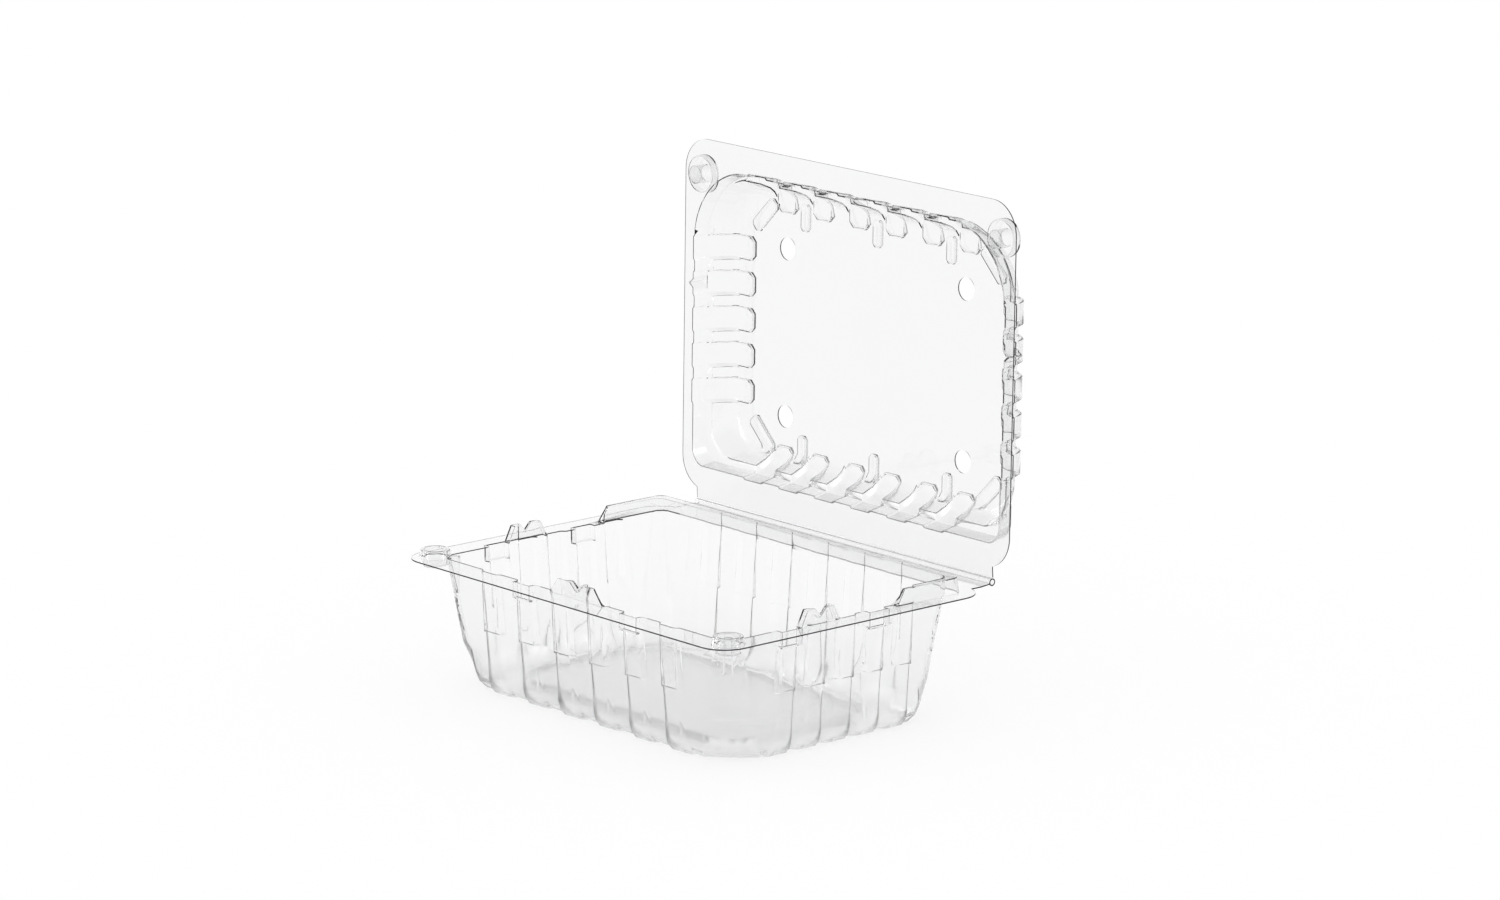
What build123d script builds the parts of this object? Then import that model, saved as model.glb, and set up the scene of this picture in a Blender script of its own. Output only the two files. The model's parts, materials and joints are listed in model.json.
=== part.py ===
"""Clear plastic clamshell pack: a fluted tray and a ribbed lid, formed from one sheet and hinged at the back.

Millimetres. The origin is on the table, under the middle of the tray. +X runs along the hinge,
+Y from the front edge to the hinge, +Z up. The lid stands open, as the pack is shown.
"""
from build123d import *
import os

# The pack as a whole
pack_width = 190.0
pack_depth = 132.5
tray_height = 50.0
sheet = 0.5
closing_gap = 0.3
overrun = 3.0
lid_open_angle = 91.0
upward = (Align.CENTER, Align.CENTER, Align.MIN)
half_width = pack_width / 2
half_depth = pack_depth / 2

# Flutes that the tray and the lid share: six along the front and back, five along each side
front_pitch = 21.0
front_count = 6
side_pitch = 14.5
side_count = 5
side_middle = 3.5
front_places = [front_pitch * (i - (front_count - 1) / 2) for i in range(front_count)]
side_places = [side_middle + side_pitch * (i - (side_count - 1) / 2) for i in range(side_count)]

# Tray wall: insets are from the flange's outer edge to the wall between the ridges, at the rim
tray_front_inset = 11.2
tray_side_inset = 10.0
tray_back_inset = 9.9
tray_flange_corner = 11.0
tray_draft_share = 0.085
tray_front_face = 8.0
tray_side_face = 6.6
tray_ramp = 1.6
ridge_at_rim = 1.6
ridge_over_ledge = 2.7
ridge_under_ledge = 1.8
ridge_at_foot = 2.2
ledge_height = 26.0
ledge_drop = 0.4
corner_height = 17.0
foot_height = 7.0
foot_reach = 5.0
foot_steps = 3
rim_legs = (7.0, 5.0)
ledge_legs = (11.0, 9.5)
corner_legs = (12.5, 10.5)
foot_legs = (14.0, 9.0)
round_bow_share = 0.293
cut_bow_share = 0.46

# Raised floor inside the ring of feet
floor_rise = 3.6
floor_inset = 28.0
floor_corner = 14.0
floor_taper = 35.0

# Raised rim round the back, its ramps, and the notched bumps at the middle of the other sides
rim_rise = 6.0
rim_side_inset = 6.8
rim_back_inset = 5.6
rim_corner = 4.0
rim_lean = 0.9
ramp_foot_y = 27.0
ramp_run = 4.0
bump_front_inset = 9.4
bump_side_inset = 7.6
bump_thickness = 5.0
bump_rise = 6.0
notch_depth = 3.0
front_bump_foot = 31.0
front_bump_top = 21.0
front_notch = 7.0
side_bump_foot = 19.0
side_bump_top = 13.0
side_notch = 5.4
side_bump_y = side_places[1]

# Shelf pockets under the rim, on the ridges beside each bump
pocket_width = 10.0
pocket_drop = 6.5
pocket_front_inset = 8.4
pocket_side_inset = 7.2

# Facets sunk into the tray's front corners, under the snaps
facet_width = 9.5
facet_drop = 13.5
facet_depth = 1.3
facet_turn = 45.0

# Snaps: dished crowns at the tray's front corners, and the lid's domes and plugs over them
snap_side_inset = 8.6
snap_front_inset = 10.7
crown_radius = 6.4
crown_top_radius = 5.7
crown_rise = 2.8
dish_radius = 4.2
dish_drop = 3.2
plug_reach = 2.6
plug_clearance = 0.5
dome_clearance = 0.6
snap_x = half_width - snap_side_inset
snap_y = snap_front_inset - half_depth

# Hinge: a hollow bead behind the flange, on a web that rises to it
hinge_setback = 10.8
hinge_run = 5.5
hinge_rise = 0.6
bead_radius = 1.5
hinge_length = 172.0
hinge_y = half_depth + hinge_setback
hinge_z = tray_height + hinge_rise

# Lid: heights are above its flange's lower face, as it lies shut; insets are between the ribs
lid_base = tray_height + closing_gap
lid_height = 18.0
wall_height = 12.7
panel_height = 16.5
band_height = 6.9
ledge_thickness = 0.4
lid_lip = 3.7
lid_flange_corner = 13.0
lid_front_inset = 7.3
lid_side_inset = 5.4
lid_back_inset = 3.8
band_lean = 1.0
ledge_reach = 2.8
rib_lean = 2.2
rib_round_heights = (15.0, 17.2)
rib_round_reaches = (1.8, 5.0, 8.9)
rib_at_flange = 0.8
rib_at_band = 0.5
rib_over_ledge = 3.2
rib_at_top = 2.8
lid_front_face = 10.2
lid_side_face = 8.8
lid_ramp = 0.9
band_legs = (25.5, 6.0)
lid_top_legs = (18.5, 12.0)
lid_round_legs = ((17.8, 12.0), (15.0, 10.0), (11.2, 7.6))
lid_bow_share = 0.34

# Lid top: the ribs run in over a sunk panel with bars and vents
panel_side_inset = 23.0
panel_front_inset = 23.4
panel_back_inset = 15.5
finger_cut_share = 0.2
bar_rise = 1.2
bar_length = 11.2
bar_width = 5.0
bar_cut_share = 0.25
bar_front_y = -42.7
bar_back_y = 50.4
corner_bar_x = 65.8
corner_bar_front_y = -40.5
corner_bar_back_y = 48.2
corner_bar_length = 17.0
corner_bar_width = 6.0
corner_bar_turn = 45.0
vent_radius = 4.6
vent_x = 51.5
vent_reach = 33.7
lid_middle_y = 4.8
lug_width = 11.0
lug_side_inset = 2.2


def side_run(places, face, ramp, depth):
    """Points along one side, as (place along it, distance out), with a ridge at each place."""
    run = []
    for place in places:
        run.append((place - face / 2 - ramp, 0))
        run.append((place - face / 2, depth))
        run.append((place + face / 2, depth))
        run.append((place + face / 2 + ramp, 0))
    return run


def fluted_section(height, insets, faces, ramp, depth, legs, bow_share):
    """One level of a fluted wall, a closed outline of ridges with a bowed corner at each end of a side.

    insets are (front, side, back), faces the ridges' widths (front, side), legs the corners' (front, back).
    """
    x = half_width - insets[1]
    front = insets[0] - half_depth
    back = half_depth - insets[2]
    long_run = side_run(front_places, faces[0], ramp, depth)
    short_run = side_run(side_places, faces[1], ramp, depth)
    front_leg, back_leg = legs
    front_side = [(-x + front_leg, front)] + [(s, front - out) for s, out in long_run] + [(x - front_leg, front)]
    right_side = [(x, front + front_leg)] + [(x + out, s) for s, out in short_run] + [(x, back - back_leg)]
    back_side = [(x - back_leg, back)] + [(-s, back + out) for s, out in long_run] + [(-x + back_leg, back)]
    left_side = [(-x, back - back_leg)]
    left_side += [(-x - out, s) for s, out in reversed(short_run)]
    left_side += [(-x, front + front_leg)]
    front_bow = front_leg * bow_share
    back_bow = back_leg * bow_share
    with BuildSketch(Plane.XY.offset(height)) as section:
        with BuildLine():
            Polyline(*front_side)
            ThreePointArc(front_side[-1], (x - front_bow, front + front_bow), right_side[0])
            Polyline(*right_side)
            ThreePointArc(right_side[-1], (x - back_bow, back - back_bow), back_side[0])
            Polyline(*back_side)
            ThreePointArc(back_side[-1], (-x + back_bow, back - back_bow), left_side[0])
            Polyline(*left_side)
            ThreePointArc(left_side[-1], (-x + front_bow, front + front_bow), front_side[0])
        make_face()
    return section.sketch


def plain_section(height, insets, legs, bow_share):
    """One level of a plain wall with bowed corners."""
    x = half_width - insets[1]
    front = insets[0] - half_depth
    back = half_depth - insets[2]
    front_leg, back_leg = legs
    front_bow = front_leg * bow_share
    back_bow = back_leg * bow_share
    with BuildSketch(Plane.XY.offset(height)) as section:
        with BuildLine():
            Line((-x + front_leg, front), (x - front_leg, front))
            ThreePointArc((x - front_leg, front), (x - front_bow, front + front_bow), (x, front + front_leg))
            Line((x, front + front_leg), (x, back - back_leg))
            ThreePointArc((x, back - back_leg), (x - back_bow, back - back_bow), (x - back_leg, back))
            Line((x - back_leg, back), (-x + back_leg, back))
            ThreePointArc((-x + back_leg, back), (-x + back_bow, back - back_bow), (-x, back - back_leg))
            Line((-x, back - back_leg), (-x, front + front_leg))
            ThreePointArc((-x, front + front_leg), (-x + front_bow, front + front_bow), (-x + front_leg, front))
        make_face()
    return section.sketch


def tray_section(height, skin, more_inset, depth, legs, bow_share):
    """One level of the tray's wall: skin is 0 for its outside, and the sheet's thickness for its inside."""
    insets = (tray_front_inset, tray_side_inset, tray_back_inset)
    insets = [inset + more_inset + skin for inset in insets]
    faces = (tray_front_face, tray_side_face)
    return fluted_section(height + skin, insets, faces, tray_ramp, depth, legs, bow_share)


def tray_levels(skin):
    """The tray's wall from above the raised rim down to the table."""
    top = tray_height + rim_rise + overrun
    under_ledge = ledge_height - ledge_drop

    def draft(height):
        return tray_draft_share * (tray_height - height)

    levels = [
        tray_section(top, skin, 0, ridge_at_rim, rim_legs, round_bow_share),
        tray_section(tray_height, skin, 0, ridge_at_rim, rim_legs, round_bow_share),
        tray_section(ledge_height, skin, draft(ledge_height), ridge_over_ledge, ledge_legs, round_bow_share),
        tray_section(under_ledge, skin, draft(under_ledge), ridge_under_ledge, ledge_legs, round_bow_share),
        tray_section(corner_height, skin, draft(corner_height), ridge_under_ledge, corner_legs, round_bow_share),
    ]
    for step in range(foot_steps + 1):
        turn = Vector(1, 0).rotate(Axis.Z, 90 * step / foot_steps)
        height = foot_height * (1 - turn.Y)
        inset = draft(height) + foot_reach * (1 - turn.X)
        levels.append(tray_section(height, skin, inset, ridge_at_foot, foot_legs, cut_bow_share))
    return levels


def floor_block(skin):
    """The raised floor: a low block with sloping sides, rounded in plan."""
    with BuildPart() as block:
        with BuildSketch(Plane.XY):
            RectangleRounded(
                pack_width - 2 * floor_inset + 2 * skin,
                pack_depth - 2 * floor_inset + 2 * skin,
                floor_corner + skin,
            )
        extrude(amount=floor_rise + skin, taper=floor_taper)
    return block.part


def bump_profile(plane, foot, top, notch, skin):
    """The notched bump seen from the front: a low peak with sloping ends and a V cut in its top."""
    with BuildSketch(plane) as profile:
        with BuildLine():
            Polyline(
                (-foot / 2, -overrun),
                (-foot / 2, 0),
                (-top / 2, bump_rise),
                (-notch / 2, bump_rise),
                (0, bump_rise - notch_depth),
                (notch / 2, bump_rise),
                (top / 2, bump_rise),
                (foot / 2, 0),
                (foot / 2, -overrun),
                close=True,
            )
        make_face()
        if skin:
            offset(amount=-skin, kind=Kind.INTERSECTION, mode=Mode.REPLACE)
    return profile.sketch


def bump_planes():
    """Planes on the outer faces of the three bumps, each facing the middle of the tray."""
    front = Plane((0, bump_front_inset - half_depth, tray_height), x_dir=(-1, 0, 0), z_dir=(0, 1, 0))
    right = Plane((half_width - bump_side_inset, side_bump_y, tray_height), x_dir=(0, -1, 0), z_dir=(-1, 0, 0))
    left = Plane((bump_side_inset - half_width, side_bump_y, tray_height), x_dir=(0, 1, 0), z_dir=(1, 0, 0))
    front_sizes = (front_bump_foot, front_bump_top, front_notch)
    side_sizes = (side_bump_foot, side_bump_top, side_notch)
    return [(front, front_sizes), (right, side_sizes), (left, side_sizes)]


def raised_parts(skin):
    """What stands above the tray's flange: the raised back rim with its ramps, and the three bumps.

    With a skin these are the hollows under the sheet, open below the flange.
    """
    foot = tray_height - overrun
    with BuildPart() as raised:
        legs = (overrun, rim_corner - skin)
        side = rim_side_inset + skin
        back = rim_back_inset + skin
        loft(
            sections=[
                plain_section(foot, (-half_depth, side, back), legs, round_bow_share),
                plain_section(tray_height + rim_rise - skin, (-half_depth, side + rim_lean, back + rim_lean), legs,
                              round_bow_share),
            ],
            ruled=True,
        )
        with BuildSketch(Plane.YZ):
            with BuildLine():
                Polyline(
                    (ramp_foot_y + skin, foot),
                    (ramp_foot_y + skin, tray_height),
                    (ramp_foot_y + skin + ramp_run, tray_height + rim_rise),
                    (ramp_foot_y + skin + ramp_run, tray_height + rim_rise + overrun),
                    (-pack_depth, tray_height + rim_rise + overrun),
                    (-pack_depth, foot),
                    close=True,
                )
            make_face()
        extrude(amount=pack_width, both=True, mode=Mode.SUBTRACT)
        for plane, sizes in bump_planes():
            profile = bump_profile(plane.offset(skin), *sizes, skin)
            extrude(to_extrude=profile, amount=bump_thickness)
        if not skin:
            split(bisect_by=Plane.XY.offset(tray_height - sheet), keep=Keep.TOP)
    return raised.part


def shelf_pockets(skin):
    """Square pockets under the rim, on the ridges beside each bump, open into the tray."""
    width = pocket_width - 2 * skin
    drop = pocket_drop - skin
    front = pocket_front_inset + skin - half_depth
    x = half_width - pocket_side_inset - skin
    depth = tray_front_inset
    with BuildPart() as pockets:
        with BuildSketch(Plane.XY.offset(tray_height - drop)):
            with Locations((front_places[1], front + depth / 2), (front_places[4], front + depth / 2)):
                Rectangle(width, depth)
            for place in (side_places[0], side_places[3]):
                with Locations((x - depth / 2, place), (depth / 2 - x, place)):
                    Rectangle(depth, width)
        extrude(amount=drop)
    return pockets.part


def corner_facets(skin):
    """Flat facets sunk into the front corners of the tray's wall, from the flange down."""
    x = half_width - tray_side_inset - rim_legs[0] * round_bow_share
    front = tray_front_inset + rim_legs[0] * round_bow_share - half_depth
    with BuildPart() as facets:
        with BuildSketch(Plane.XY.offset(tray_height - facet_drop - skin)):
            for side in (1, -1):
                with Locations(Location((side * x, front), side * -facet_turn)):
                    Rectangle(facet_width + 2 * skin, 2 * (facet_depth + skin))
        extrude(amount=facet_drop + 2 * skin)
    return facets.part


def crown_hollow():
    """The ring-shaped hollow under a snap crown's sheet."""
    with BuildPart() as hollow:
        Cone(crown_radius - sheet, crown_top_radius - sheet, crown_rise,
             align=upward)
        Cylinder(dish_radius + sheet, crown_rise, align=upward,
                 mode=Mode.SUBTRACT)
    return hollow.part


def hinge_web(low, edge_low):
    """The strip between a flange and the bead: low is its lower face at the bead, edge_low at the flange."""
    with BuildPart() as web:
        with BuildSketch(Plane.YZ):
            with BuildLine():
                Polyline(
                    (half_depth - overrun, edge_low),
                    (hinge_y - hinge_run, edge_low),
                    (hinge_y, low),
                    (hinge_y, low + sheet),
                    (hinge_y - hinge_run, edge_low + sheet),
                    (half_depth - overrun, edge_low + sheet),
                    close=True,
                )
            make_face()
        extrude(amount=hinge_length / 2, both=True)
    return web.part


def hinge_rod(radius, length):
    """A round bar along the hinge line."""
    with BuildPart() as rod:
        with BuildSketch(Plane.YZ):
            with Locations((hinge_y, hinge_z)):
                Circle(radius)
        extrude(amount=length / 2, both=True)
    return rod.part


def lid_levels(skin, bottom):
    """The lid's ribbed wall, from its flange up past the ledge to the rib tops."""
    lid_insets = (lid_front_inset, lid_side_inset, lid_back_inset)
    faces = (lid_front_face - skin, lid_side_face - skin)
    over_ledge = band_lean + ledge_reach
    over_wall = over_ledge + rib_lean
    rows = [
        (0, 0, rib_at_flange, band_legs),
        (band_height - skin, band_lean, rib_at_band, band_legs),
        (band_height + ledge_thickness - skin, over_ledge, rib_over_ledge, lid_top_legs),
        (wall_height - skin, over_wall, rib_at_top, lid_top_legs),
    ]
    for height, reach, legs in zip((*rib_round_heights, lid_height), rib_round_reaches, lid_round_legs):
        rows.append((height - skin, over_wall + reach, rib_at_top, legs))
    if bottom:
        rows.insert(0, (bottom, 0, rib_at_flange, band_legs))
    levels = []
    for height, more_inset, depth, legs in rows:
        insets = [inset + more_inset + skin for inset in lid_insets]
        levels.append(fluted_section(lid_base + height, insets, faces, lid_ramp, depth, legs, lid_bow_share))
    return levels


def cut_rectangle(length, width, cut):
    """Corners of a rectangle about the origin with its own corners cut off."""
    x = length / 2
    y = width / 2
    return [(cut - x, -y), (x - cut, -y), (x, cut - y), (x, y - cut), (x - cut, y), (cut - x, y), (-x, y - cut),
            (-x, cut - y)]


def lid_panel_cut(skin):
    """What is taken off the lid's top to leave the ribs standing on the panel as blunt fingers."""
    front_width = lid_front_face + lid_ramp - 2 * skin
    side_width = lid_side_face + lid_ramp - 2 * skin
    front_cut = front_width * finger_cut_share
    side_cut = side_width * finger_cut_share
    front_finger = cut_rectangle(front_width, 2 * (panel_front_inset - skin), front_cut)
    back_finger = cut_rectangle(front_width, 2 * (panel_back_inset - skin), front_cut)
    side_finger = cut_rectangle(2 * (panel_side_inset - skin), side_width, side_cut)
    with BuildPart() as cut:
        with BuildSketch(Plane.XY.offset(lid_base + panel_height - skin)):
            Rectangle(pack_width, pack_depth)
            for place in front_places:
                with Locations((place, -half_depth)):
                    Polygon(*front_finger, align=None, mode=Mode.SUBTRACT)
                with Locations((place, half_depth)):
                    Polygon(*back_finger, align=None, mode=Mode.SUBTRACT)
            for place in side_places:
                with Locations((half_width, place), (-half_width, place)):
                    Polygon(*side_finger, align=None, mode=Mode.SUBTRACT)
        extrude(amount=lid_height)
    return cut.part


def lid_bars(skin):
    """Short bars on the panel between the ribs' ends, and one across each corner."""
    width = bar_width - 2 * skin
    corner_width = corner_bar_width - 2 * skin
    bar = cut_rectangle(width, bar_length - 2 * skin, width * bar_cut_share)
    corner_bar = cut_rectangle(corner_bar_length - 2 * skin, corner_width, corner_width * bar_cut_share)
    with BuildPart() as bars:
        with BuildSketch(Plane.XY.offset(lid_base + panel_height - overrun)):
            for y in (bar_front_y, bar_back_y):
                with Locations((-2 * front_pitch, y), (0, y), (2 * front_pitch, y)):
                    Polygon(*bar, align=None)
            for y, turn in ((corner_bar_front_y, corner_bar_turn), (corner_bar_back_y, -corner_bar_turn)):
                with Locations(Location((corner_bar_x, y), turn), Location((-corner_bar_x, y), -turn)):
                    Polygon(*corner_bar, align=None)
        extrude(amount=overrun + bar_rise - skin)
    return bars.part


def lid_form(skin, bottom):
    """The lid's raised form as one solid: ribbed wall, panel, bars and side lugs."""
    lug_root = half_width - lid_side_inset - band_lean - overrun
    with BuildPart() as form:
        loft(sections=lid_levels(skin, bottom), ruled=True)
        add(lid_panel_cut(skin), mode=Mode.SUBTRACT)
        add(lid_bars(skin))
        with BuildSketch(Plane.XY.offset(lid_base + bottom)):
            for side in (1, -1):
                with BuildLine():
                    Polyline(
                        (side * lug_root, side_bump_y - lug_width / 2 + skin),
                        (side * (half_width - lug_side_inset - 2 * skin), side_bump_y),
                        (side * lug_root, side_bump_y + lug_width / 2 - skin),
                        close=True,
                    )
                make_face()
        extrude(amount=band_height - skin - bottom)
    return form.part


# Tray wall, outside and inside
with BuildPart() as wall_outside:
    loft(sections=tray_levels(0), ruled=True)
    add(corner_facets(0), mode=Mode.SUBTRACT)

with BuildPart() as wall_inside:
    loft(sections=tray_levels(sheet), ruled=True)
    add(floor_block(sheet), mode=Mode.SUBTRACT)
    add(corner_facets(sheet), mode=Mode.SUBTRACT)

with BuildPart() as raised_hollow:
    add(raised_parts(sheet))
    add(wall_outside.part, mode=Mode.SUBTRACT)

with BuildPart() as tray:
    add(wall_outside.part)
    split(bisect_by=Plane.XY.offset(tray_height), keep=Keep.BOTTOM)
    add(shelf_pockets(0))
    with BuildSketch(Plane.XY.offset(tray_height - sheet)):
        RectangleRounded(pack_width, pack_depth, tray_flange_corner)
    extrude(amount=sheet)
    add(raised_parts(0))
    add(raised_hollow.part, mode=Mode.SUBTRACT)
    add(wall_inside.part, mode=Mode.SUBTRACT)
    add(shelf_pockets(sheet), mode=Mode.SUBTRACT)
    add(floor_block(0), mode=Mode.SUBTRACT)
    with Locations((snap_x, snap_y, tray_height - sheet), (-snap_x, snap_y, tray_height - sheet)):
        Cone(crown_radius, crown_top_radius, crown_rise + sheet, align=upward)
        add(crown_hollow(), mode=Mode.SUBTRACT)
    with Locations((snap_x, snap_y, tray_height - dish_drop), (-snap_x, snap_y, tray_height - dish_drop)):
        with Locations((0, 0, -sheet)):
            Cylinder(dish_radius + sheet, dish_drop + sheet, align=upward)
        Cylinder(dish_radius, dish_drop + crown_rise + overrun, align=upward, mode=Mode.SUBTRACT)
    add(hinge_web(hinge_z - closing_gap / 2 - sheet, tray_height - sheet))
    add(hinge_rod(bead_radius, hinge_length))
    add(hinge_rod(bead_radius - sheet, hinge_length + overrun), mode=Mode.SUBTRACT)

# Lid as it lies shut, then swung open on the hinge
lid_flange_front = -half_depth - lid_lip
lid_flange_back = hinge_y - hinge_run
lid_flange_depth = lid_flange_back - lid_flange_front
lid_flange_middle = (lid_flange_front + lid_flange_back) / 2
snap_places = [(snap_x, snap_y, lid_base), (-snap_x, snap_y, lid_base)]
dome_radius = crown_radius + dome_clearance + sheet
dome_height = crown_rise + dome_clearance - closing_gap + sheet
plug_radius = dish_radius - plug_clearance

with BuildPart() as shut_lid:
    add(lid_form(0, 0))
    with BuildSketch(Plane.XY.offset(lid_base)):
        with Locations((0, lid_flange_middle)):
            RectangleRounded(pack_width, lid_flange_depth, lid_flange_corner)
    extrude(amount=sheet)
    add(lid_form(sheet, -overrun), mode=Mode.SUBTRACT)
    with Locations(*snap_places):
        Cylinder(dome_radius, dome_height, align=upward)
        Cylinder(dome_radius - sheet, dome_height - sheet, align=upward, mode=Mode.SUBTRACT)
        with Locations((0, 0, -plug_reach)):
            Cylinder(plug_radius, dome_height + plug_reach - sheet, align=upward)
            with Locations((0, 0, sheet)):
                Cylinder(plug_radius - sheet, dome_height + plug_reach, align=upward, mode=Mode.SUBTRACT)
    with Locations((0, lid_middle_y, lid_base)):
        with GridLocations(2 * vent_x, 2 * vent_reach, 2, 2):
            Cylinder(vent_radius, panel_height + overrun, align=upward, mode=Mode.SUBTRACT)
    add(hinge_web(hinge_z + closing_gap / 2, lid_base))
    add(hinge_rod(bead_radius + closing_gap, hinge_length + overrun), mode=Mode.SUBTRACT)

hinge_line = Axis((0, hinge_y, hinge_z), (1, 0, 0))
with BuildPart() as lid:
    add(shut_lid.part.rotate(hinge_line, -lid_open_angle))

os.makedirs("parts", exist_ok=True)
tray.part.label = "tray"
export_step(tray.part, "parts/tray.step")
lid.part.label = "lid"
export_step(lid.part, "parts/lid.step")
for made in (tray.part, lid.part):
    print(made.label, "solids", len(made.solids()), "faces", len(made.faces()), "volume", round(made.volume))
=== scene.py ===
# %% [markdown]
# # A clear clamshell pack
# The pack is one sheet of clear plastic, formed into a fluted tray and a ribbed lid.
# Its solids come from the imported CAD model. This lesson gives them smooth skins, a clear film and cut edges
# painted dark as painted shade, and adds a pale floor, soft light and a camera at the photo's angle.

import json
import math

import bpy
from mathutils import Matrix, Vector


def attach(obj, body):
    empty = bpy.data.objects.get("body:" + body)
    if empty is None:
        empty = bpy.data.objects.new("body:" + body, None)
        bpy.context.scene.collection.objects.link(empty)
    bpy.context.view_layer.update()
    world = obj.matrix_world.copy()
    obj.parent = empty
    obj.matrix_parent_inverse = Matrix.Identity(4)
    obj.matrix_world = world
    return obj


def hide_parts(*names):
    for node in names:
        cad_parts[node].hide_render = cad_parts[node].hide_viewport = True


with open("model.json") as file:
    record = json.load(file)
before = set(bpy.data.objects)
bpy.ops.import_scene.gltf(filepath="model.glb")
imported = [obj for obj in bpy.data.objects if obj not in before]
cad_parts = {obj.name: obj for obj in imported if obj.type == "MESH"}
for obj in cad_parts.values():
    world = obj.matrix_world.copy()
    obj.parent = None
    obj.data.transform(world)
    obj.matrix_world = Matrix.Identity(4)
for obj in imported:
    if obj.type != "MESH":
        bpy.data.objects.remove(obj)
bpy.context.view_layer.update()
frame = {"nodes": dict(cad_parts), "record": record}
print("nodes:", sorted(frame["nodes"]))

# %% [markdown]
# ## Skins for the tray and the lid
# On the real pack the sheet bends softly from wall to wall, and no facets show.
# The solids arrive as loose flat triangles, which would show as facets in a clear film.
# A remesh would smooth them, but it would also change the thin sheet. So each solid is copied as it is, its
# doubles are merged, and only its shading is smoothed. Creases sharper than a set angle stay sharp.
# Weighted normals then keep the large faces flat and let the small bends between them shade as round.
# The shape is still the solid's own.

# %% Merge and smooth a copy of each solid
CREASE_ANGLE = math.radians(58)
MERGE_DISTANCE = 1e-6
LARGE_FACE_WEIGHT = 90


def deselect_all():
    for shown in bpy.context.selected_objects:
        shown.select_set(False)


def copy_solid(node, name):
    """A copy of one solid, alone in the selection."""
    deselect_all()
    skin = bpy.data.objects.new(name, frame["nodes"][node].data.copy())
    skin.data.name = name
    bpy.context.scene.collection.objects.link(skin)
    skin.select_set(True)
    bpy.context.view_layer.objects.active = skin
    return skin


def smooth_shading(skin):
    """Merge the loose triangles and shade them as one soft sheet that keeps its sharp creases."""
    bpy.ops.mesh.customdata_custom_splitnormals_clear()
    bpy.ops.object.mode_set(mode="EDIT")
    bpy.ops.mesh.select_all(action="SELECT")
    bpy.ops.mesh.remove_doubles(threshold=MERGE_DISTANCE)
    bpy.ops.object.mode_set(mode="OBJECT")
    bpy.ops.object.shade_smooth_by_angle(angle=CREASE_ANGLE)
    bpy.ops.object.modifier_add(type="WEIGHTED_NORMAL")
    rounding = skin.modifiers[-1]
    rounding.keep_sharp = True
    rounding.weight = LARGE_FACE_WEIGHT
    bpy.ops.object.modifier_apply(modifier=rounding.name)


def make_skin(node, name, body):
    """A smoothly shaded copy of one solid, riding on its body in the solid's place."""
    skin = copy_solid(node, name)
    smooth_shading(skin)
    skin.data.materials.clear()
    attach(skin, body)
    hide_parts(node)
    print(name, "has", len(skin.data.polygons), "faces")
    return skin


tray_skin = make_skin("tray", "tray_skin", "tray")
lid_skin = make_skin("lid", "lid_skin", "lid")

# %% [markdown]
# ## Forming marks
# Formed film is never quite even: it has faint waves where it was drawn, and patches that are less glossy.
# The marks could be built in each material. Both films have them, so they are built once, as a node group.
# It puts out a tint, a gloss and a wave height, and each film gives it its own colours and scales.

# %% A node group for the forming marks
MARK_INPUTS = {
    "Tint Low": "NodeSocketColor",
    "Tint High": "NodeSocketColor",
    "Patch Scale": "NodeSocketFloat",
    "Wave Scale": "NodeSocketFloat",
}
MARK_OUTPUTS = {
    "Tint": "NodeSocketColor",
    "Gloss": "NodeSocketFloat",
    "Wave": "NodeSocketFloat",
}
PATCH_DETAIL = 2.0
WAVE_DETAIL = 1.0
GLOSSY_ROUGHNESS = 0.01
DULL_ROUGHNESS = 0.05


def make_forming_marks():
    group = bpy.data.node_groups.new("forming_marks", "ShaderNodeTree")
    for label, kind in MARK_INPUTS.items():
        group.interface.new_socket(label, in_out="INPUT", socket_type=kind)
    for label, kind in MARK_OUTPUTS.items():
        group.interface.new_socket(label, in_out="OUTPUT", socket_type=kind)
    nodes = group.nodes
    links = group.links
    inputs = nodes.new("NodeGroupInput")
    outputs = nodes.new("NodeGroupOutput")
    place = nodes.new("ShaderNodeTexCoord")
    patches = nodes.new("ShaderNodeTexNoise")
    patches.inputs["Detail"].default_value = PATCH_DETAIL
    waves = nodes.new("ShaderNodeTexNoise")
    waves.inputs["Detail"].default_value = WAVE_DETAIL
    tint = nodes.new("ShaderNodeMix")
    tint.data_type = "RGBA"
    gloss = nodes.new("ShaderNodeMapRange")
    gloss.inputs["To Min"].default_value = GLOSSY_ROUGHNESS
    gloss.inputs["To Max"].default_value = DULL_ROUGHNESS
    links.new(place.outputs["Object"], patches.inputs["Vector"])
    links.new(place.outputs["Object"], waves.inputs["Vector"])
    links.new(inputs.outputs["Patch Scale"], patches.inputs["Scale"])
    links.new(inputs.outputs["Wave Scale"], waves.inputs["Scale"])
    links.new(patches.outputs["Fac"], tint.inputs["Factor"])
    links.new(inputs.outputs["Tint Low"], tint.inputs["A"])
    links.new(inputs.outputs["Tint High"], tint.inputs["B"])
    links.new(patches.outputs["Fac"], gloss.inputs["Value"])
    links.new(tint.outputs["Result"], outputs.inputs["Tint"])
    links.new(gloss.outputs["Result"], outputs.inputs["Gloss"])
    links.new(waves.outputs["Fac"], outputs.inputs["Wave"])
    return group


forming_marks = make_forming_marks()
print("group:", forming_marks.name)

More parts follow.
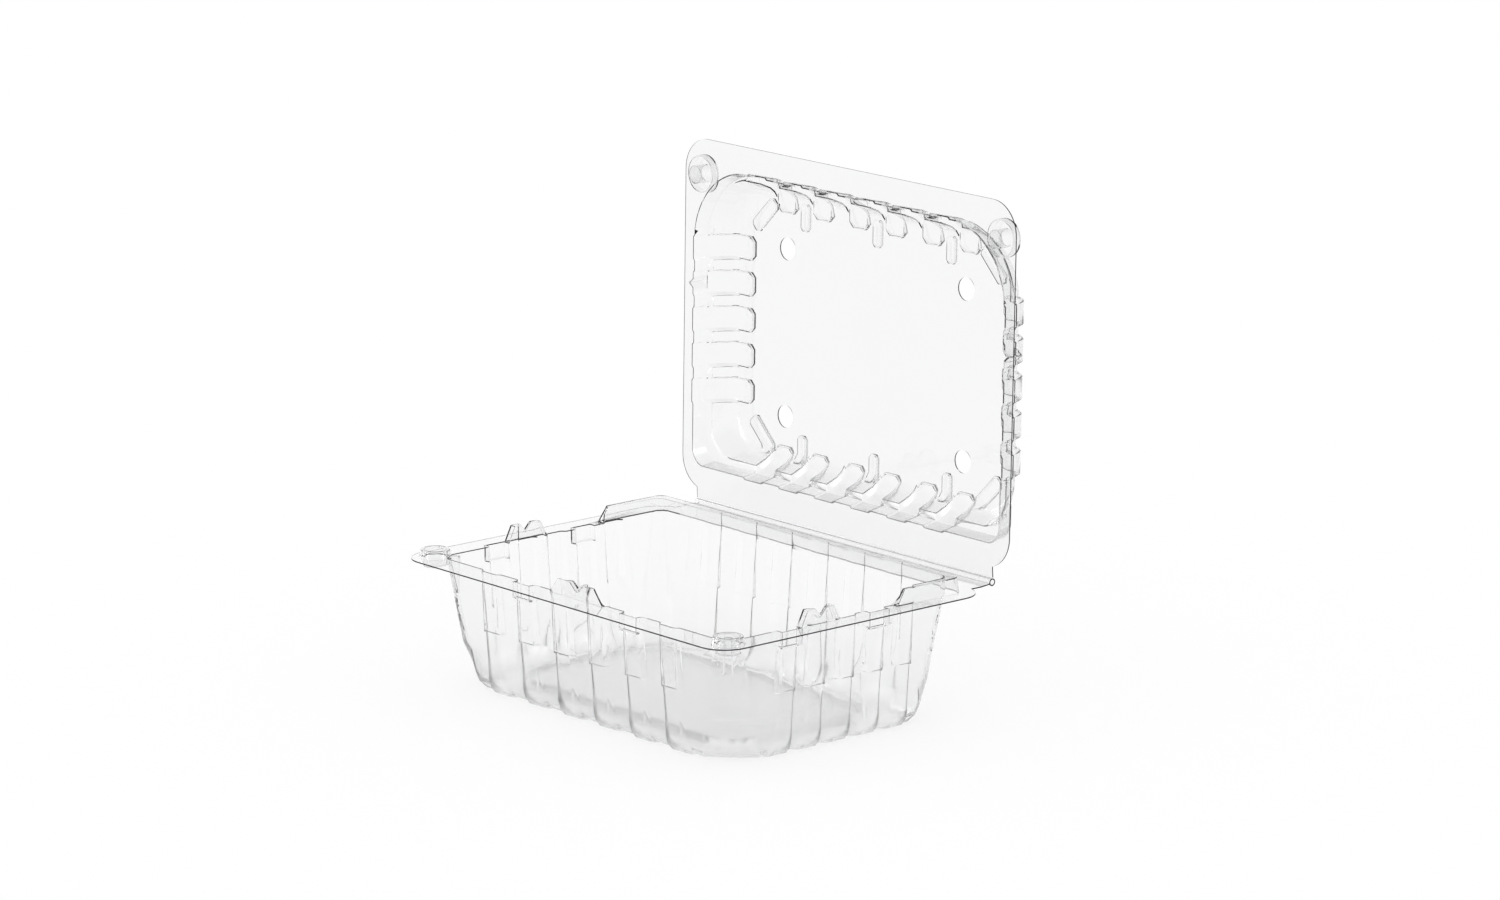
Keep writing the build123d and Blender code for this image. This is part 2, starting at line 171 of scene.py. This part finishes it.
# %% [markdown]
# ## Haze and passing light
# In the photo the lines are softer at the tray's foot and on the lid's side by the hinge, as on film that is a
# little hazy where it was drawn. Blurring the picture there would blur what lies behind as well. A roughness
# that fades out with height keeps it to the film, since both places lie low on their piece.
# Clear film also casts hardly any shadow. Glass shaders cast a dark one unless their caustics are traced,
# which is slow and grainy. So light on its way to the floor meets a nearly clear shader in place of glass.

# %% Helpers for the film's nodes
HAZE = 0.17
PASSING_COLOUR = (0.985, 0.985, 0.985, 1)


def combine(tree, operation, first, second):
    """The result of a Math node on two sockets."""
    math_node = tree.nodes.new("ShaderNodeMath")
    math_node.operation = operation
    tree.links.new(first, math_node.inputs[0])
    tree.links.new(second, math_node.inputs[1])
    return math_node.outputs[0]


def add_haze(tree, full_height, clear_height):
    """A roughness that is full below one height and gone above another."""
    place = tree.nodes.new("ShaderNodeTexCoord")
    height = tree.nodes.new("ShaderNodeSeparateXYZ")
    haze = tree.nodes.new("ShaderNodeMapRange")
    haze.interpolation_type = "SMOOTHSTEP"
    haze.inputs["From Min"].default_value = full_height
    haze.inputs["From Max"].default_value = clear_height
    haze.inputs["To Min"].default_value = HAZE
    haze.inputs["To Max"].default_value = 0.0
    tree.links.new(place.outputs["Object"], height.inputs["Vector"])
    tree.links.new(height.outputs["Z"], haze.inputs["Value"])
    return haze.outputs["Result"]


def let_light_pass(tree):
    """Lamp rays and bounced light go straight through the film."""
    path = tree.nodes.new("ShaderNodeLightPath")
    passing = tree.nodes.new("ShaderNodeBsdfTransparent")
    passing.inputs["Color"].default_value = PASSING_COLOUR
    mix = tree.nodes.new("ShaderNodeMixShader")
    room_light = combine(tree, "MAXIMUM", path.outputs["Is Shadow Ray"], path.outputs["Is Diffuse Ray"])
    tree.links.new(room_light, mix.inputs["Fac"])
    tree.links.new(tree.nodes["Principled BSDF"].outputs["BSDF"], mix.inputs[1])
    tree.links.new(passing.outputs["BSDF"], mix.inputs[2])
    tree.links.new(mix.outputs["Shader"], tree.nodes["Material Output"].inputs["Surface"])


print("haze at full strength:", HAZE)

# %% [markdown]
# ## Clear film
# The real film is thin, glossy polyester that lets nearly all light through, and turns pale grey in layers.
# A see-through shader with a faint tint would be simple, but it bends no light, and the ribs would vanish.
# A Principled shader with full transmission bends light at every rib. The modelled sheet is thicker than real
# film, so its index is set below the plastic's own, which keeps the lines fine.
# The base colour greys each layer evenly. The absorption adds a little where light runs far inside the sheet.

# %% Make the film materials
FILM_IOR = 1.42
WAVE_HEIGHT = 0.0004
DEPTH_COLOUR = (0.255, 0.26, 0.265, 1)
FILMS = {
    "tray_film": {
        "tint_and_shade_low": (0.972, 0.974, 0.975, 1),
        "tint_and_shade_high": (0.986, 0.987, 0.988, 1),
        "patch_scale": 18.0,
        "wave_scale": 45.0,
        "wave_strength": 0.12,
        "density": 50.0,
        "haze_heights": (0.004, 0.034),
    },
    # The lid's tint is darker and its absorption denser than the tray's, though both are one sheet. That
    # difference is painted shade, for the greyer tone the lid takes on in the light.
    "lid_film": {
        "tint_and_shade_low": (0.948, 0.95, 0.951, 1),
        "tint_and_shade_high": (0.964, 0.965, 0.966, 1),
        "patch_scale": 14.0,
        "wave_scale": 40.0,
        "wave_strength": 0.10,
        "density": 60.0,
        "haze_heights": (0.068, 0.086),
    },
}


def make_film(name):
    look = FILMS[name]
    film = bpy.data.materials.new(name)
    film.use_nodes = True
    tree = film.node_tree
    shader = tree.nodes["Principled BSDF"]
    shader.inputs["IOR"].default_value = FILM_IOR
    shader.inputs["Transmission Weight"].default_value = 1.0
    marks = tree.nodes.new("ShaderNodeGroup")
    marks.node_tree = forming_marks
    marks.inputs["Tint Low"].default_value = look["tint_and_shade_low"]
    marks.inputs["Tint High"].default_value = look["tint_and_shade_high"]
    marks.inputs["Patch Scale"].default_value = look["patch_scale"]
    marks.inputs["Wave Scale"].default_value = look["wave_scale"]
    bump = tree.nodes.new("ShaderNodeBump")
    bump.inputs["Strength"].default_value = look["wave_strength"]
    bump.inputs["Distance"].default_value = WAVE_HEIGHT
    roughness = combine(tree, "ADD", add_haze(tree, *look["haze_heights"]), marks.outputs["Gloss"])
    tree.links.new(marks.outputs["Tint"], shader.inputs["Base Color"])
    tree.links.new(roughness, shader.inputs["Roughness"])
    tree.links.new(marks.outputs["Wave"], bump.inputs["Height"])
    tree.links.new(bump.outputs["Normal"], shader.inputs["Normal"])
    let_light_pass(tree)
    depth = tree.nodes.new("ShaderNodeVolumeAbsorption")
    depth.inputs["Color"].default_value = DEPTH_COLOUR
    depth.inputs["Density"].default_value = look["density"]
    tree.links.new(depth.outputs["Volume"], tree.nodes["Material Output"].inputs["Volume"])
    return film


tray_film = make_film("tray_film")
lid_film = make_film("lid_film")
tray_skin.data.materials.append(tray_film)
lid_skin.data.materials.append(lid_film)
print("films:", tray_film.name, lid_film.name)

# %% [markdown]
# ## Painted shade on the cut
# The pack is punched out of a wide sheet after forming, so its flanges end in a bare knife cut.
# A cut isn't polished as the film's faces are. Its dark outline round the flanges is shade, which comes from
# how light bends and reflects inside the clear edge.
# Clear glass can't give that on an edge half a millimetre high. So the cut is painted near black as painted
# shade, in a dull plastic whose darkness and roughness vary with a fine noise.

# %% Give the cut its painted shade
EDGE_NOISE_SCALE = 220.0
# Both near-black tones are painted shade. They stand in for the dark outline that light draws along the clear
# cut.
EDGE_SHADE_DARK = (0.008, 0.008, 0.009, 1)
EDGE_SHADE_PALE = (0.035, 0.036, 0.037, 1)
STROKE_SMOOTH = 0.5
STROKE_ROUGH = 0.75
CUT_SPECULAR = 0.2


def make_cut_painted_shade():
    cut = bpy.data.materials.new("cut_painted_shade")
    cut.use_nodes = True
    nodes = cut.node_tree.nodes
    links = cut.node_tree.links
    shader = nodes["Principled BSDF"]
    shader.inputs["IOR"].default_value = FILM_IOR
    shader.inputs["Specular IOR Level"].default_value = CUT_SPECULAR
    place = nodes.new("ShaderNodeTexCoord")
    edge_noise = nodes.new("ShaderNodeTexNoise")
    edge_noise.inputs["Scale"].default_value = EDGE_NOISE_SCALE
    painted_edge_shade = nodes.new("ShaderNodeMix")
    painted_edge_shade.data_type = "RGBA"
    painted_edge_shade.inputs["A"].default_value = EDGE_SHADE_DARK
    painted_edge_shade.inputs["B"].default_value = EDGE_SHADE_PALE
    grain = nodes.new("ShaderNodeMapRange")
    grain.inputs["To Min"].default_value = STROKE_SMOOTH
    grain.inputs["To Max"].default_value = STROKE_ROUGH
    links.new(place.outputs["Object"], edge_noise.inputs["Vector"])
    links.new(edge_noise.outputs["Fac"], painted_edge_shade.inputs["Factor"])
    links.new(edge_noise.outputs["Fac"], grain.inputs["Value"])
    links.new(painted_edge_shade.outputs["Result"], shader.inputs["Base Color"])
    links.new(grain.outputs["Result"], shader.inputs["Roughness"])
    return cut


cut_painted_shade = make_cut_painted_shade()
print("finish:", cut_painted_shade.name)

# %% [markdown]
# ## Where the cut is
# The cut runs round the outer edge of both flanges, which lie on each other when the pack is shut.
# Its faces could be picked by hand, but their numbers change with the mesh. So they are found by place: the
# lid is taken as shut, and the upright faces at the flanges' level and outside the formed part are the cut.

# %% Give the cut faces their painted shade
FLANGE_LEVELS = {"tray_skin": (0.0494, 0.0501), "lid_skin": (0.0502, 0.0509)}
UNCUT_HALF_WIDTH = 0.0855
UNCUT_FRONT = -0.0605
UNCUT_BACK = 0.0655
UPRIGHT_LIMIT = 0.2
CUT_INDEX = 1


def cut_flange(skin, swing, pivot):
    """Put the cut's painted shade on the flange's outer faces, found as they lie when the pack is shut."""
    low, high = FLANGE_LEVELS[skin.name]
    count = 0
    for face in skin.data.polygons:
        place = swing @ (face.center - pivot) + pivot
        upright = abs((swing @ face.normal).z) < UPRIGHT_LIMIT
        outside = abs(place.x) > UNCUT_HALF_WIDTH or place.y < UNCUT_FRONT or place.y > UNCUT_BACK
        if upright and outside and low < place.z < high:
            face.material_index = CUT_INDEX
            count += 1
    print(skin.name, "has", count, "cut faces")


hinge = frame["record"]["behaviour"]["joints"][0]
hinge_place = Vector(hinge["pos_m"])
shut_angle = math.radians(hinge["range_deg"][1])
for skin, angle in ((tray_skin, 0), (lid_skin, shut_angle)):
    skin.data.materials.append(cut_painted_shade)
    cut_flange(skin, Matrix.Rotation(angle, 3, "X"), hinge_place)

# %% [markdown]
# ## Floor
# A wide pale floor runs behind the pack, as a studio sweep does, and takes the pack's soft shadow.
# It could be lit until it turns white, but that much light would wash the film out. So the floor is pale,
# and rays from the camera, or by way of the film, also see a little light of its own.

# %% Make the floor
FLOOR_SIZE = 30.0
FLOOR_COLOUR = (0.8, 0.8, 0.8, 1)
FLOOR_GLOW = 0.2


def make_studio_white():
    white = bpy.data.materials.new("studio_white")
    white.use_nodes = True
    tree = white.node_tree
    tree.nodes.remove(tree.nodes["Principled BSDF"])
    paint = tree.nodes.new("ShaderNodeBsdfDiffuse")
    paint.inputs["Color"].default_value = FLOOR_COLOUR
    glow = tree.nodes.new("ShaderNodeEmission")
    rays = tree.nodes.new("ShaderNodeLightPath")
    seen = combine(tree, "MAXIMUM", rays.outputs["Is Camera Ray"], rays.outputs["Is Glossy Ray"])
    seen = combine(tree, "MAXIMUM", seen, rays.outputs["Is Transmission Ray"])
    glow_level = tree.nodes.new("ShaderNodeMath")
    glow_level.operation = "MULTIPLY"
    glow_level.inputs[1].default_value = FLOOR_GLOW
    both = tree.nodes.new("ShaderNodeAddShader")
    tree.links.new(seen, glow_level.inputs[0])
    tree.links.new(glow_level.outputs[0], glow.inputs["Strength"])
    tree.links.new(paint.outputs["BSDF"], both.inputs[0])
    tree.links.new(glow.outputs["Emission"], both.inputs[1])
    tree.links.new(both.outputs["Shader"], tree.nodes["Material Output"].inputs["Surface"])
    return white


deselect_all()
bpy.ops.mesh.primitive_plane_add(size=FLOOR_SIZE, location=(0, 0, 0))
floor = bpy.context.active_object
floor.name = "studio_floor"
floor.data.materials.append(make_studio_white())
print("floor:", floor.name)

# %% [markdown]
# ## Room
# Clear film shows by what it bends and mirrors, so a room that is white all round would hide it.
# The room is white at the sides and dims overhead. The creases of the film bend the dim ceiling towards the
# camera, which draws them as fine grey lines. The camera itself, and the floor, see plain white.

# %% Make the room
ROOM_WHITE = (1, 1, 1, 1)
CEILING_GREY = (0.3, 0.3, 0.31, 1)
WHITE_UP_TO = 0.35
GREY_FROM = 0.7


def make_room():
    room = bpy.data.worlds.new("studio_room")
    room.use_nodes = True
    tree = room.node_tree
    light = tree.nodes["Background"]
    light.inputs["Strength"].default_value = 1.0
    direction = tree.nodes.new("ShaderNodeTexCoord")
    split = tree.nodes.new("ShaderNodeSeparateXYZ")
    ceiling = tree.nodes.new("ShaderNodeValToRGB")
    white_end, grey_end = ceiling.color_ramp.elements
    white_end.position = WHITE_UP_TO
    white_end.color = ROOM_WHITE
    grey_end.position = GREY_FROM
    grey_end.color = CEILING_GREY
    rays = tree.nodes.new("ShaderNodeLightPath")
    by_film = combine(tree, "MAXIMUM", rays.outputs["Is Glossy Ray"], rays.outputs["Is Transmission Ray"])
    plain_or_room = tree.nodes.new("ShaderNodeMix")
    plain_or_room.data_type = "RGBA"
    plain_or_room.inputs["A"].default_value = ROOM_WHITE
    tree.links.new(direction.outputs["Generated"], split.inputs["Vector"])
    tree.links.new(split.outputs["Z"], ceiling.inputs["Fac"])
    tree.links.new(by_film, plain_or_room.inputs["Factor"])
    tree.links.new(ceiling.outputs["Color"], plain_or_room.inputs["B"])
    tree.links.new(plain_or_room.outputs["Result"], light.inputs["Color"])
    return room


bpy.context.scene.world = make_room()
print("room:", bpy.context.scene.world.name)

# %% [markdown]
# ## Lamps
# Tall strip lamps stand to the left, the front and the right, as in a studio for glass and film.
# They are weak, because the white room already lights the pack. Their work is the highlights: the film
# mirrors them along its ribs. They aren't seen through the film, where they would stand as white patches.

# %% Hang the lamps
STRIP_WIDTH = 0.25
STRIP_HEIGHT = 1.0
STRIP_POWER = 5.0
STRIP_AIM = Vector((0, 0.03, 0.08))
STRIP_PLACES = {
    "left_strip": (-1.3, 0.0, 0.55),
    "front_strip": (-0.25, -1.3, 0.55),
    "right_strip": (1.25, 0.5, 0.55),
}


def add_strip(name, place):
    deselect_all()
    bpy.ops.object.light_add(type="AREA", location=place)
    lamp = bpy.context.active_object
    lamp.name = name
    lamp.data.shape = "RECTANGLE"
    lamp.data.size = STRIP_WIDTH
    lamp.data.size_y = STRIP_HEIGHT
    lamp.data.energy = STRIP_POWER
    lamp.visible_diffuse = False
    lamp.visible_transmission = False
    lamp.rotation_euler = (STRIP_AIM - Vector(place)).to_track_quat("-Z", "Y").to_euler()
    return lamp


for name, place in STRIP_PLACES.items():
    lamp = add_strip(name, place)
    print("lamp:", lamp.name)

# %% [markdown]
# ## Camera
# The camera stands far off with a long lens, to the right of the front and a little above the rim, as in the
# photo. Its place could be set by eye. It was solved from the corners, snaps and vents that can be picked out
# in the photo, so that the edges of the pack run the same way.

# %% Place the camera
CAMERA_PLACE = Vector((1.77394, -1.5131, 0.64583))
CAMERA_AIM = Vector((0.0111, 0.02046, 0.09757))
IMAGE_WIDTH = 1500
FOCAL_PIXELS = 6308.3
SENSOR_WIDTH = 36.0
deselect_all()
bpy.ops.object.camera_add(location=CAMERA_PLACE)
camera = bpy.context.active_object
camera.rotation_euler = (CAMERA_AIM - CAMERA_PLACE).to_track_quat("-Z", "Y").to_euler()
camera.data.sensor_width = SENSOR_WIDTH
camera.data.lens = SENSOR_WIDTH * FOCAL_PIXELS / IMAGE_WIDTH
bpy.context.scene.camera = camera
print("lens:", round(camera.data.lens, 1), "mm")

# %% [markdown]
# ## Render settings
# A ray through the pack can meet a dozen film surfaces, so it is allowed many bounces before it goes dark.

# %% Set the bounces and the view
FILM_BOUNCES = 32
MIRROR_BOUNCES = 8
scene = bpy.context.scene
scene.view_settings.view_transform = "Standard"
scene.cycles.max_bounces = FILM_BOUNCES
scene.cycles.transmission_bounces = FILM_BOUNCES
scene.cycles.glossy_bounces = MIRROR_BOUNCES
scene.cycles.transparent_max_bounces = FILM_BOUNCES
scene.cycles.caustics_refractive = False
scene.cycles.caustics_reflective = False
